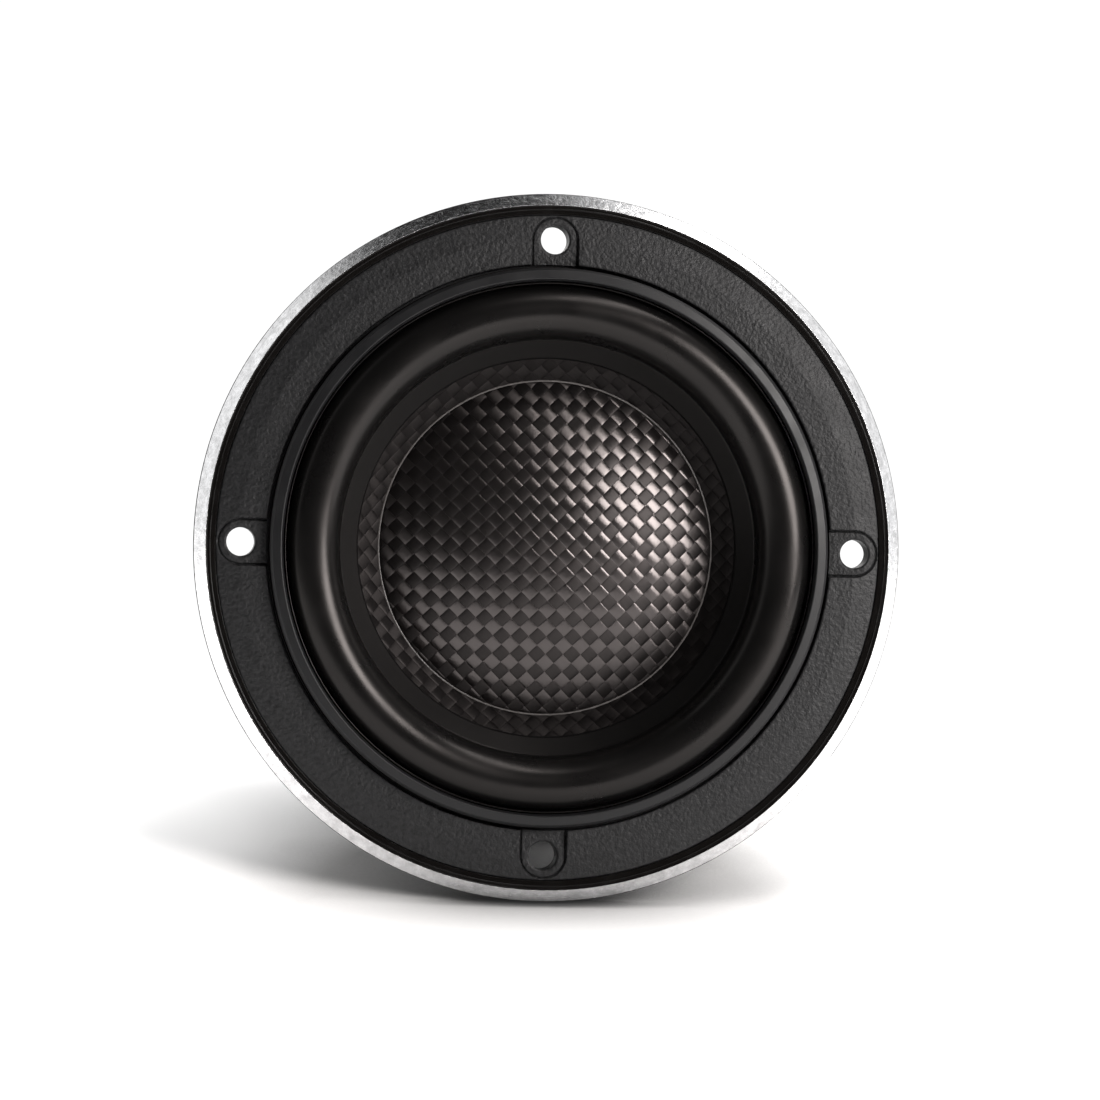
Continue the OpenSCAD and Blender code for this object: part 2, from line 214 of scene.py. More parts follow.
def rounded(outline):
    """The outline with each (r, z, fillet) corner turned into an arc. A short flat run beside each
    arc keeps the shading of the wide faces flat."""
    steps, hold = 4, 0.03
    out = []
    for i, point in enumerate(outline):
        here = Vector(point[:2])
        if len(point) < 3:
            out.append(here)
            continue
        back = Vector(outline[i - 1][:2]) - here
        ahead = Vector(outline[(i + 1) % len(outline)][:2]) - here
        half = back.angle(ahead) / 2
        reach = min(point[2] / math.tan(half), 0.42 * min(back.length, ahead.length))
        radius = reach * math.tan(half)
        back.normalize()
        ahead.normalize()
        centre = here + (back + ahead).normalized() * (radius / math.sin(half))
        first = here + back * reach - centre
        last = here + ahead * reach - centre
        sweep = first.angle_signed(last)
        out.append(here + back * (reach + hold))
        for k in range(steps + 1):
            turn = Matrix.Rotation(-sweep * k / steps, 2)
            out.append(centre + turn @ first)
        out.append(here + ahead * (reach + hold))
    return out


def lathe(name, outline, segments=SEGMENTS, arc=None):
    """A closed outline of (r, z) turned about the axis, all the way or over arc = (start, end) in
    degrees."""
    points = rounded(outline)
    area = sum(a.x * b.y - b.x * a.y for a, b in zip(points, points[1:] + points[:1]))
    if area < 0:
        points.reverse()
    start, end = arc or (0, 360)
    count = segments if arc is None else max(6, round(segments * (end - start) / 360))
    columns = count if arc is None else count + 1
    angles = [math.radians(start + (end - start) * i / count) for i in range(columns)]
    vertices = [row(p.x * math.cos(a), p.x * math.sin(a), p.y) for a in angles for p in points]
    n = len(points)
    faces = []
    for i in range(count):
        here, there = i * n, (i + 1) % columns * n
        faces += [(here + k, there + k, there + (k + 1) % n, here + (k + 1) % n) for k in range(n)]
    if arc is not None:
        faces.append(tuple(range(n)))
        faces.append(tuple((columns - 1) * n + k for k in range(n - 1, -1, -1)))
    made = add_mesh(name, vertices, faces)
    weld(made)
    return made


def weld(made, distance=1e-7):
    """Joins the points that lie closer than a distance in metres, such as those on the axis."""
    work = bmesh.new()
    work.from_mesh(made.data)
    bmesh.ops.remove_doubles(work, verts=work.verts, dist=distance)
    bmesh.ops.dissolve_degenerate(work, edges=work.edges, dist=distance)
    work.to_mesh(made.data)
    work.free()
    shade(made.data)


def joined(name, pieces):
    """One object holding every piece's mesh."""
    work = bmesh.new()
    for piece in pieces:
        work.from_mesh(piece.data)
        bpy.data.objects.remove(piece)
    mesh = bpy.data.meshes.new(name)
    work.to_mesh(mesh)
    work.free()
    shade(mesh)
    return add_object(name, mesh)


def prism(name, outline, depth, place):
    """A flat outline in driver terms (x, z), thick along y by depth, put in place by a function
    from (x, y, z) to driver terms."""
    n = len(outline)
    vertices = [row(*place(x, y, z)) for y in (-depth / 2, depth / 2) for x, z in outline]
    faces = [tuple(range(n - 1, -1, -1)), tuple(range(n, 2 * n))]
    faces += [(k, (k + 1) % n, n + (k + 1) % n, n + k) for k in range(n)]
    made = add_mesh(name, vertices, faces)
    work = bmesh.new()
    work.from_mesh(made.data)
    bmesh.ops.recalc_face_normals(work, faces=work.faces)
    work.to_mesh(made.data)
    work.free()
    return made


def turned_to(angle):
    """Turns driver terms about the axis by an angle in degrees."""
    c, s = math.cos(math.radians(angle)), math.sin(math.radians(angle))
    return lambda x, y, z: (x * c - y * s, x * s + y * c, z)


def bolt_cutters():
    """Four long pins that cut the mounting holes."""
    middle_z, length = 2, 30
    holes = []
    for angle in HOLE_ANGLES:
        x, y, _ = turned_to(angle)(BOLT_R, 0, 0)
        work = bmesh.new()
        bmesh.ops.create_cone(
            work, cap_ends=True, segments=64, radius1=HOLE_R * MM, radius2=HOLE_R * MM, depth=length * MM,
            matrix=Matrix.Translation(row(x, y, middle_z)) @ Matrix.Rotation(math.pi / 2, 4, "X"))
        mesh = bpy.data.meshes.new("hole")
        work.to_mesh(mesh)
        work.free()
        holes.append(add_object("hole", mesh))
    return joined("bolt_cutters", holes)


def cut_bolt_holes(made):
    cutter = bolt_cutters()
    modifier = made.modifiers.new("bolt_holes", "BOOLEAN")
    modifier.object = cutter
    modifier.operation = "DIFFERENCE"
    modifier.solver = "EXACT"
    bake(made)
    bpy.data.objects.remove(cutter)


def bake(made):
    """Applies the object's modifiers."""
    graph = bpy.context.evaluated_depsgraph_get()
    graph.update()
    mesh = bpy.data.meshes.new_from_object(made.evaluated_get(graph))
    made.modifiers.clear()
    made.data = mesh
    shade(mesh)


def dress(made, material):
    """Gives a piece one material in place of any it has."""
    made.data.materials.clear()
    made.data.materials.append(material)


def attach(made, body, material, slot, *replaced):
    """Gives a piece its material, its body and the CAD nodes it stands for."""
    dress(made, material)
    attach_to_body(made, body)
    finish_piece(replaced)


def attach_flexing(made, material, slot, weights, *replaced):
    """A piece between the frame and the cone, given its material and its place baked into its mesh, with its
    CAD nodes hidden; it does not bend. Weights, 0 at the frame and 1 at the cone, are not used.
    """
    dress(made, material)
    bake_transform(made)
    finish_piece(replaced)


def finish_piece(replaced):
    if replaced:
        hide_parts(*replaced)


def radii(made):
    """Each vertex's distance from the driver's axis, in millimetres."""
    co = np.empty(len(made.data.vertices) * 3)
    made.data.vertices.foreach_get("co", co)
    co = co.reshape(-1, 3)
    return np.hypot(co[:, 0], co[:, 2]) / MM


def eased(t):
    """Goes from 0 to 1 with t, with a level start and end."""
    t = np.clip(t, 0, 1)
    return t * t * (3 - 2 * t)


# ---- Material helpers ----


class Finish:
    """A Principled material, with short ways to add noise, colour and bump, in millimetres."""

    def __init__(self, name, color, roughness, metallic=0.0, specular=0.5):
        self.material = bpy.data.materials.new(name)
        self.material.use_nodes = True
        self.tree = self.material.node_tree
        self.shader = self.tree.nodes["Principled BSDF"]
        self.shader.inputs["Base Color"].default_value = (*color, 1)
        self.shader.inputs["Roughness"].default_value = roughness
        self.shader.inputs["Metallic"].default_value = metallic
        self.shader.inputs["Specular IOR Level"].default_value = specular
        self.color, self.roughness = color, roughness
        where = self.node("ShaderNodeTexCoord").outputs["Object"]
        self.place = self.node(
            "ShaderNodeVectorMath", operation="SCALE", inputs={0: where, "Scale": 1 / MM})
        self.bumped = None

    def node(self, kind, inputs=None, output=0, **settings):
        """Adds a node and returns one of its outputs, or the node itself for a texture coordinate."""
        made = self.tree.nodes.new(kind)
        for key, value in settings.items():
            setattr(made, key, value)
        for key, value in (inputs or {}).items():
            if isinstance(value, bpy.types.NodeSocket):
                self.tree.links.new(value, made.inputs[key])
            else:
                made.inputs[key].default_value = value
        return made if kind == "ShaderNodeTexCoord" else made.outputs[output]

    def set(self, **values):
        for key, value in values.items():
            self.shader.inputs[key.replace("_", " ")].default_value = value
        return self

    def noise(self, size, detail, roughness=0.5, distortion=0.0):
        """Noise whose lumps are about size millimetres."""
        return self.noise_on(self.place, 1 / size, detail, roughness, distortion)

    def noise_on(self, place, scale, detail, roughness=0.5, distortion=0.0):
        return self.node("ShaderNodeTexNoise", inputs={
            "Vector": place, "Scale": scale, "Detail": detail, "Roughness": roughness,
            "Distortion": distortion})

    def lathe_noise(self, per_turn, per_mm, detail):
        """Noise drawn out round the axis, as a lathe's marks are."""
        place = self.node("ShaderNodeVectorMath", operation="MULTIPLY", inputs={
            0: self.polar(), 1: (per_turn, per_mm, per_mm)})
        return self.noise_on(place, 1.0, detail)

    def reach(self, direction):
        """How far the place lies along a direction, in millimetres."""
        return self.node(
            "ShaderNodeVectorMath", operation="DOT_PRODUCT", inputs={0: self.place, 1: direction}, output=1)

    def polar(self):
        """(angle round the axis in radians, radius and height in millimetres)."""
        parts = self.node("ShaderNodeSeparateXYZ", inputs={0: self.place})
        axes = parts.node.outputs
        squares = [self.math("MULTIPLY", axes[k], axes[k]) for k in (0, 2)]
        radius = self.math("SQRT", self.math("ADD", *squares))
        angle = self.math("ARCTAN2", axes[2], axes[0])
        return self.node("ShaderNodeCombineXYZ", inputs={0: angle, 1: radius, 2: axes[1]})

    def math(self, operation, a, b=0.0):
        return self.node("ShaderNodeMath", operation=operation, inputs={0: a, 1: b})

    def ranged(self, value, low_in, high_in, low_out, high_out):
        """The value carried from one range to another and held at its ends."""
        return self.node("ShaderNodeMapRange", inputs={
            "Value": value, "From Min": low_in, "From Max": high_in,
            "To Min": low_out, "To Max": high_out})

    def vary_roughness(self, value, spread):
        """Moves the roughness by spread either way as the value goes from 0.3 to 0.7."""
        self.tree.links.new(
            self.ranged(value, 0.3, 0.7, self.roughness - spread, self.roughness + spread),
            self.shader.inputs["Roughness"])
        return self

    def vary_color(self, value, dark, light, low_in=0.3, high_in=0.7):
        """Mixes from the colour times dark to the colour times light."""
        share = self.ranged(value, low_in, high_in, 0, 1)
        darker, lighter = ((*[c * scale for c in self.color], 1) for scale in (dark, light))
        mix = self.node("ShaderNodeMix", data_type="RGBA", inputs={0: share, 6: darker, 7: lighter}, output=2)
        self.tree.links.new(mix, self.shader.inputs["Base Color"])
        return self

    def bump(self, height, depth):
        """Adds a bump that rises depth millimetres as the value goes from 0 to 1."""
        inputs = {"Height": height, "Strength": 1.0, "Distance": depth * MM}
        if self.bumped is not None:
            inputs["Normal"] = self.bumped
        self.bumped = self.node("ShaderNodeBump", inputs=inputs)
        self.tree.links.new(self.bumped, self.shader.inputs["Normal"])
        return self


def black_casting():
    f = Finish("black_casting", (0.008, 0.008, 0.009), 0.5, specular=0.3)
    grain = f.noise(0.5, 3)
    f.vary_roughness(f.noise(6, 4), 0.08).bump(grain, 0.02).bump(f.noise(4, 2), 0.03)
    return f.material


def band_paint():
    """Glossy black paint on the step beside the cut face."""
    f = Finish("band_paint", (0.003, 0.0026, 0.0024), 0.2, specular=0.18)
    f.vary_roughness(f.noise(3, 3), 0.06).bump(f.noise(0.3, 2), 0.006)
    return f.material


def wall_paint():
    """The flat black side of the flange, where the coat is dusty and takes no shine."""
    f = Finish("wall_paint", (0.01, 0.009, 0.009), 0.95, specular=0.02)
    f.vary_color(f.noise(1.5, 3), 0.6, 1.5).bump(f.noise(0.4, 3), 0.02)
    return f.material


def turned_aluminium():
    """The polished cut face, with the tool's marks and small chips."""
    f = Finish("turned_aluminium", (0.88, 0.88, 0.89), 0.17, metallic=1)
    marks = f.lathe_noise(2.5, 6, 4)
    chips = f.noise(0.9, 5, 0.7, distortion=0.6)
    f.vary_roughness(chips, 0.12).vary_color(f.noise(1.6, 5, 0.7), 0.6, 1.0)
    f.bump(marks, 0.02).bump(chips, 0.06)
    return f.material


def textured_trim():
    f = Finish("textured_trim", (0.0085, 0.0085, 0.009), 0.5, specular=0.22)
    grain = f.noise(0.62, 2, 0.5)
    f.vary_color(f.noise(0.7, 2, 0.6), 0.6, 1.5).vary_roughness(f.noise(5, 3), 0.05)
    f.bump(grain, 0.2).bump(f.noise(0.22, 1), 0.01)
    return f.material


def smooth_trim():
    f = Finish("smooth_trim", (0.006, 0.006, 0.0065), 0.42, specular=0.25)
    f.vary_roughness(f.noise(4, 4), 0.06).bump(f.noise(0.25, 2), 0.006)
    return f.material


def rubber(name, color, roughness, shine=0.22):
    f = Finish(name, color, roughness, specular=shine)
    f.set(Specular_Tint=(1, 0.93, 0.9, 1))
    f.vary_roughness(f.noise(7, 4), 0.05).bump(f.noise(0.22, 3), 0.006).bump(f.noise(3, 2), 0.012)
    return f.material


def woven_carbon(name, across, shine, roughness, stretch, resin):
    """Carbon tow under a thin resin skin. Across is the direction that its highlight spreads in,
    square to the fibres."""
    f = Finish(name, (0.0025, 0.0022, 0.0022), roughness, specular=shine)
    f.set(Anisotropic=stretch, Coat_Weight=resin, Coat_Roughness=0.22, Coat_IOR=1.5)
    f.set(Specular_Tint=(1, 0.9, 0.88, 1))
    tangent = f.node("ShaderNodeCombineXYZ", inputs=dict(enumerate(across)))
    f.tree.links.new(tangent, f.shader.inputs["Tangent"])
    along = (-across[2], 0, across[0])
    drawn_out = f.node("ShaderNodeCombineXYZ", inputs={
        0: f.reach(across), 1: f.math("MULTIPLY", f.reach(along), 0.06)})
    fibres = f.noise_on(drawn_out, 7, 3, 0.6)
    f.vary_color(fibres, 0.55, 1.5, 0.35, 0.65)
    f.bump(fibres, 0.02).bump(f.noise(0.5, 3), 0.012)
    return f.material


def metal(name, color, roughness, grain=0.5):
    f = Finish(name, color, roughness, metallic=1)
    f.vary_roughness(f.noise(grain * 6, 4), 0.08).vary_color(f.noise(8, 3), 0.9, 1.05)
    f.bump(f.noise(grain, 3), 0.01)
    return f.material


def turned_metal(name, color, roughness):
    """Metal faced on a lathe, with fine rings about the axis."""
    f = Finish(name, color, roughness, metallic=1)
    rings = f.lathe_noise(0.6, 5, 3)
    f.vary_roughness(f.noise(5, 4), 0.06).vary_color(f.noise(7, 4), 0.9, 1.03).bump(rings, 0.035)
    return f.material


def matte(name, color, roughness, grain, depth):
    """A plain finish with a grain in millimetres and a bump of that depth."""
    f = Finish(name, color, roughness)
    f.vary_color(f.noise(grain * 4, 4), 0.8, 1.2).bump(f.noise(grain, 3), depth)
    return f.material


def spider_cloth():
    """Varnished woven cotton, its threads drawn as crossed waves."""
    f = Finish("spider_cloth", (0.5, 0.33, 0.09), 0.6)
    f.set(Sheen_Weight=0.15, Sheen_Roughness=0.5)
    thread = {"Vector": f.place, "Scale": 0.45, "Distortion": 0.4, "Detail": 2.0, "Detail Scale": 1.0}
    waves = [f.node("ShaderNodeTexWave", bands_direction=way, inputs=thread, output=1) for way in "XZ"]
    weave = f.math("MULTIPLY", *waves)
    f.vary_color(weave, 0.6, 1.15, 0.0, 0.6).bump(weave, 0.12)
    return f.material


# ---- Front of the basket ----


def basket_casting(casting, wall):
    """Flange, legs with their ribs, the spider's shelf and the base, in one piece."""
    flange = lathe("flange", [
        (SPIGOT_IN_R, SPIGOT_Z, 0.3), (SPIGOT_R, SPIGOT_Z, 0.3), (SPIGOT_R, GASKET_T, 0.4),
        (RIM_R, GASKET_T, 0.25), (RIM_R, FLANGE_Z - CHAMFER - 0.1, 0.06),
        (RIM_R - 0.1, FLANGE_Z - CHAMFER - 0.02), (LIP_R - 0.04, FLANGE_Z - 0.06),
        (LIP_R - 0.08, FLANGE_Z - 0.3), (TRIM_R + 0.06, FLANGE_Z - 0.3),
        (TRIM_R + 0.06, TRIM_FLOOR_Z - 0.01), (TRIM_IN_R - 0.05, TRIM_FLOOR_Z - 0.01),
        (TRIM_IN_R - 0.05, SEAT_Z), (SEAT_R, SEAT_Z, 0.2), (SEAT_R, GASKET_T)])
    cut_bolt_holes(flange)
    pieces = [flange]
    inset = 0.3
    leg = [
        (SPIGOT_IN_R + inset, SPIGOT_Z + 1.5), (SPIGOT_R - inset, SPIGOT_Z + 1.5),
        (SPIGOT_R - inset, SPIGOT_Z, 1.5), (SHELF_R, SHELF_Z, 2.5), (BASE_R, SHELF_Z - SHELF_T, 2),
        (BASE_R, BASE_Z + inset, 0.5), (SKIRT_IN_R, BASE_Z + inset, 0.5), (SKIRT_IN_R, SHELF_Z, 1.5),
        (SPIGOT_IN_R + inset, SPIGOT_Z, 1.5)]
    rib = [
        (SPIGOT_R - 1.5, SPIGOT_Z + 1), (SPIGOT_R - 0.6, SPIGOT_Z + 1), (SPIGOT_R - 0.6, SPIGOT_Z - 1),
        (SHELF_R + 2.6, SHELF_Z), (BASE_R + 2.2, SHELF_Z - SHELF_T - 2), (BASE_R + 0.6, BASE_Z + 0.6),
        (BASE_R - 1, BASE_Z + 0.6), (BASE_R - 1, SHELF_Z)]
    rib_t = 2
    for angle in LEG_ANGLES:
        pieces.append(lathe("leg", leg, arc=(angle - LEG_HALF, angle + LEG_HALF)))
        if angle != TERMINAL_ANGLE:
            pieces.append(prism("rib", rib, rib_t, turned_to(angle)))
    pieces.append(lathe("shelf", [
        (SHELF_IN_R, SHELF_Z - SHELF_T, 0.4), (BASE_R - inset, SHELF_Z - SHELF_T),
        (SHELF_R - 2 * inset, SHELF_Z - inset), (SHELF_IN_R, SHELF_Z - inset, 0.3)]))
    pieces.append(lathe("base", [
        (BASE_IN_R, BASE_Z + 0.01, 0.3), (BASE_R - inset, BASE_Z + 0.01, 0.4),
        (BASE_R - inset, BASE_Z + BASE_T, 0.6), (BASE_IN_R, BASE_Z + BASE_T, 0.4)]))
    made = joined("basket_casting", pieces)
    attach(made, "frame", casting, "black_casting", "basket")
    made.data.materials.append(wall)
    wall_r = (RIM_R - 0.12) * MM
    for face in made.data.polygons:
        if math.hypot(face.center.x, face.center.z) > wall_r:
            face.material_index = 1


def rim_chamfer(material):
    """The bare cut face round the flange."""
    deep = 0.12
    made = lathe("rim_chamfer", [
        (RIM_R - 0.02, FLANGE_Z - CHAMFER - 0.1), (LIP_R, FLANGE_Z - 0.01, 0.06),
        (LIP_R - 0.02, FLANGE_Z - deep), (RIM_R - deep, FLANGE_Z - CHAMFER - deep)], segments=360)
    attach(made, "frame", material, "bare_aluminium")


def rim_band(material):
    """The glossy painted step between the cut face and the textured ring, with a thin ridge on it."""
    low_z, inner, ridge = FLANGE_Z - 0.34, TRIM_R + 0.06, TRIM_R + 0.95
    made = lathe("rim_band", [
        (inner, low_z - 0.1), (inner, low_z + 0.1, 0.05), (ridge - 0.1, low_z + 0.14, 0.1),
        (ridge, low_z + 0.24, 0.04), (ridge + 0.08, low_z + 0.18, 0.05), (LIP_R - 0.2, low_z + 0.16, 0.1),
        (LIP_R - 0.03, FLANGE_Z - 0.03, 0.03), (LIP_R - 0.03, low_z - 0.1)], segments=360)
    attach(made, "frame", material, "smooth_trim")


def pad_depth(x, y):
    """Signed distance in millimetres from a mounting pad's outline: x is outward, y is across."""
    straight = np.abs(y) - PAD_HALF
    end = np.hypot(x - BOLT_R, y) - PAD_HALF
    return np.where(x <= BOLT_R, straight, end)


def trim_height(r, angle):
    """Height of the trim ring's face, with its four sunk pads and the groove round each."""
    crown = 0.35
    pad_drop, pad_floor_z = 0.16, PAD_Z + 0.2
    groove_w, groove_t, groove_out = 0.12, 0.3, 0.22
    wall_w = 0.06
    hole_edge_w, hole_edge_t = 0.16, 0.25
    break_r, break_z = TRIM_BREAK
    inner = TRIM_TOP_Z - (TRIM_TOP_Z - break_z) * (r - TRIM_IN_R) / (break_r - TRIM_IN_R)
    outer = break_z - (break_z - TRIM_EDGE_Z) * (r - break_r) / (TRIM_R - break_r)
    face = np.minimum(inner, outer)
    inside = np.clip(r - TRIM_IN_R, 0, crown)
    outside = np.clip(TRIM_R - r, 0, crown)
    face = face - (crown - np.sqrt(crown**2 - (crown - inside) ** 2))
    face = face - (crown - np.sqrt(crown**2 - (crown - outside) ** 2))
    for k in range(4):
        turn = angle - k * math.pi / 2
        x, y = r * np.cos(turn), r * np.sin(turn)
        d = np.where(x > 0, pad_depth(x, y), 99)
        floor = np.minimum(face - pad_drop, pad_floor_z)
        share = eased((wall_w - d) / (2 * wall_w))
        face = face * (1 - share) + floor * share
        face = face - groove_t * np.exp(-(((d + groove_out) / groove_w) ** 2))
        edge = np.clip(np.hypot(x - BOLT_R, y) - HOLE_R, 0, None)
        face = face - hole_edge_t * np.where(x > 0, np.exp(-((edge / hole_edge_w) ** 2)), 0)
    return face


def front_trim(material):
    """The textured ring, as one closed skin whose face follows trim_height(). Its steps are fine in
    the reach of each pad and coarse between them, in degrees."""
    fine, coarse, reach = 0.11, 0.9, 5.4
    angles = []
    for start in HOLE_ANGLES:
        angles += list(np.arange(start - reach, start + reach, fine))
        angles += list(np.arange(start + reach, start + 90 - reach - coarse / 2, coarse))
    angles = np.radians(np.array(angles))
    across = 78
    shares = np.linspace(0, 1, across)
    r = TRIM_IN_R + (TRIM_R - TRIM_IN_R) * (shares + 0.012 * np.sin(2 * math.pi * shares))
    grid_r, grid_a = np.meshgrid(r, angles)
    height = trim_height(grid_r, grid_a)
    loop_r = np.concatenate([grid_r, grid_r[:, -1:], grid_r[:, :1]], axis=1)
    floor = np.full((len(angles), 2), TRIM_FLOOR_Z)
    loop_z = np.concatenate([height, floor], axis=1)
    n = across + 2
    vertices = [
        row(rr * math.cos(a), rr * math.sin(a), zz)
        for a, rs, zs in zip(angles, loop_r, loop_z) for rr, zz in zip(rs, zs)]
    faces = []
    for i in range(len(angles)):
        here, there = i * n, (i + 1) % len(angles) * n
        faces += [(here + k, here + (k + 1) % n, there + (k + 1) % n, there + k) for k in range(n)]
    made = add_mesh("trim_ring", vertices, faces)
    cut_bolt_holes(made)
    attach(made, "frame", material, "textured_trim", "front_trim_ring")


def clamp_ring(material):
    made = lathe("clamp_ring", [
        (CLAMP_IN_R, SEAT_Z + 1), (CLAMP_R, SEAT_Z + 1), (CLAMP_R, CLAMP_Z - 0.9, 0.3),
        (CLAMP_R - 0.42, CLAMP_Z - 0.32, 0.25), (CLAMP_IN_R + 0.22, CLAMP_Z, 0.2),
        (CLAMP_IN_R - 0.1, CLAMP_Z - 0.6, 0.15), (CLAMP_IN_R - 0.15, CLAMP_Z - 1.2, 0.1),
        (CLAMP_IN_R, CLAMP_Z - 1.5)], segments=360)
    attach(made, "frame", material, "smooth_trim", "surround_clamp_ring")


def gasket(material):
    rear_z = 0.02
    made = lathe("foam_gasket", [
        (GASKET_IN_R, rear_z, 0.2), (GASKET_R, rear_z, 0.3), (GASKET_R, GASKET_T, 0.1),
        (GASKET_IN_R, GASKET_T, 0.1)])
    cut_bolt_holes(made)
    attach(made, "frame", material, "gasket_foam", "mounting_gasket")


# ---- Suspension ----


def surround(material, dull):
    """The half roll, its landing on the cone and its seat under the clamp ring."""
    inner_r, outer_r = ROLL_MID_R - ROLL_R, ROLL_MID_R + ROLL_R
    steps = 26
    over = [(ROLL_MID_R - ROLL_R * math.cos(t), ROLL_MID_Z + ROLL_R * math.sin(t))
            for t in np.linspace(0, math.pi, steps)]
    thin = ROLL_R - RUBBER_T
    under = [(ROLL_MID_R + thin * math.cos(t), ROLL_MID_Z + thin * math.sin(t))
             for t in np.linspace(0, math.pi, steps)]
    glue = 0.1
    landing_t = 0.8
    lip_z = CLAMP_Z - 1.0
    outline = [
        (inner_r + RUBBER_T, cone_z(inner_r + RUBBER_T) + glue, 0.3),
        (LANDING_R, cone_z(LANDING_R) + glue),
        (LANDING_R + 0.2, cone_z(LANDING_R) + glue + landing_t * 0.75, 0.3),
        (inner_r - 0.25, cone_z(inner_r) + glue + landing_t, 0.8),
        *over, (outer_r + 0.08, ROLL_MID_Z), (outer_r + 0.1, lip_z, 0.1), (outer_r + 0.32, lip_z, 0.1),
        (outer_r + 0.34, ROLL_MID_Z), (CLAMP_R + 0.2, ROLL_MID_Z), (CLAMP_R + 0.2, SEAT_Z + 0.01),
        (outer_r - RUBBER_T, SEAT_Z + 0.01, 0.2), *under]
    made = lathe("rubber_surround", outline, segments=288)
    r = radii(made)
    weights = 1 - eased((r - inner_r) / (outer_r - inner_r - 0.2))
    attach_flexing(made, material, "surround_rubber", weights, "surround")
    made.data.materials.append(dull)
    dull_r = (inner_r - 0.5) * MM
    for face in made.data.polygons:
        if math.hypot(face.center.x, face.center.z) < dull_r:
            face.material_index = 1


def spider(material):
    """The corrugated cloth disc that centres the coil."""
    turns = 10
    outer_flat = 4.2
    wave_h = SPIDER_WAVE_R * 0.97
    middle = [(SPIDER_IN_R, SPIDER_Z)]
    for i in range(SPIDER_WAVES):
        side = 1 if i % 2 == 0 else -1
        mid = SPIDER_FLAT_R + (2 * i + 1) * SPIDER_WAVE_R
        for t in np.linspace(math.pi, 0, turns)[: None if i == SPIDER_WAVES - 1 else -1]:
            middle.append((mid + SPIDER_WAVE_R * math.cos(t), SPIDER_Z + side * wave_h * math.sin(t)))
    middle.append((SPIDER_R, SPIDER_Z))
    middle = [Vector(p) for p in middle]
    sides = []
    for k, p in enumerate(middle):
        way = (middle[min(k + 1, len(middle) - 1)] - middle[max(k - 1, 0)]).normalized()
        sides.append(Vector((-way.y, way.x)) * (CLOTH_T / 2 - 0.02))
    outline = [p + s for p, s in zip(middle, sides)]
    outline += [p - s for p, s in zip(reversed(middle), reversed(sides))]
    made = lathe("cloth_spider", [tuple(p) for p in outline], segments=192)
    r = radii(made)
    weights = 1 - eased((r - SPIDER_FLAT_R) / (SPIDER_R - outer_flat - SPIDER_FLAT_R))
    attach_flexing(made, material, "spider_cloth", weights, "spider")


# ---- Woven carbon ----

CELL = 2.02  # a tow's width and its pitch
TOW_H = 0.18
WEAVE_TURN = math.radians(45)
# Places across one cell, from -1 to 1, closest together beside its edges, where the tows step
CELL_MARKS = np.array([-0.985, -0.9, -0.72, -0.45, -0.15, 0.15, 0.45, 0.72, 0.9, 0.985])


def weave(reach):
    """A grid turned 45 degrees that covers the radius reach: x, y, height above the cloth's middle and
    which tow is on top, one row of points per grid line."""
    cells = math.ceil(reach / CELL) + 1
    index = np.repeat(np.arange(-cells, cells), len(CELL_MARKS))
    local = np.tile(CELL_MARKS, 2 * cells)
    line = (index + 0.5 + local / 2) * CELL
    ui, vi = np.meshgrid(index, index, indexing="ij")
    up, vq = np.meshgrid(local, local, indexing="ij")
    u, v = np.meshgrid(line, line, indexing="ij")
    warp_on_top = (ui + vi) % 2 == 0
    along = np.where(warp_on_top, up, vq)
    across = np.where(warp_on_top, vq, up)
    rng = np.random.default_rng(7)
    lift = rng.normal(0, 0.05, ui.max() - ui.min() + 1)[ui - ui.min()]
    crimp = (1 - 0.32 * along**2 - 0.24 * along**6) * (1 - 0.22 * across**4)
    height = TOW_H * (crimp + lift * 0.5)
    c, s = math.cos(WEAVE_TURN), math.sin(WEAVE_TURN)
    return u * c - v * s, u * s + v * c, height, warp_on_top, index


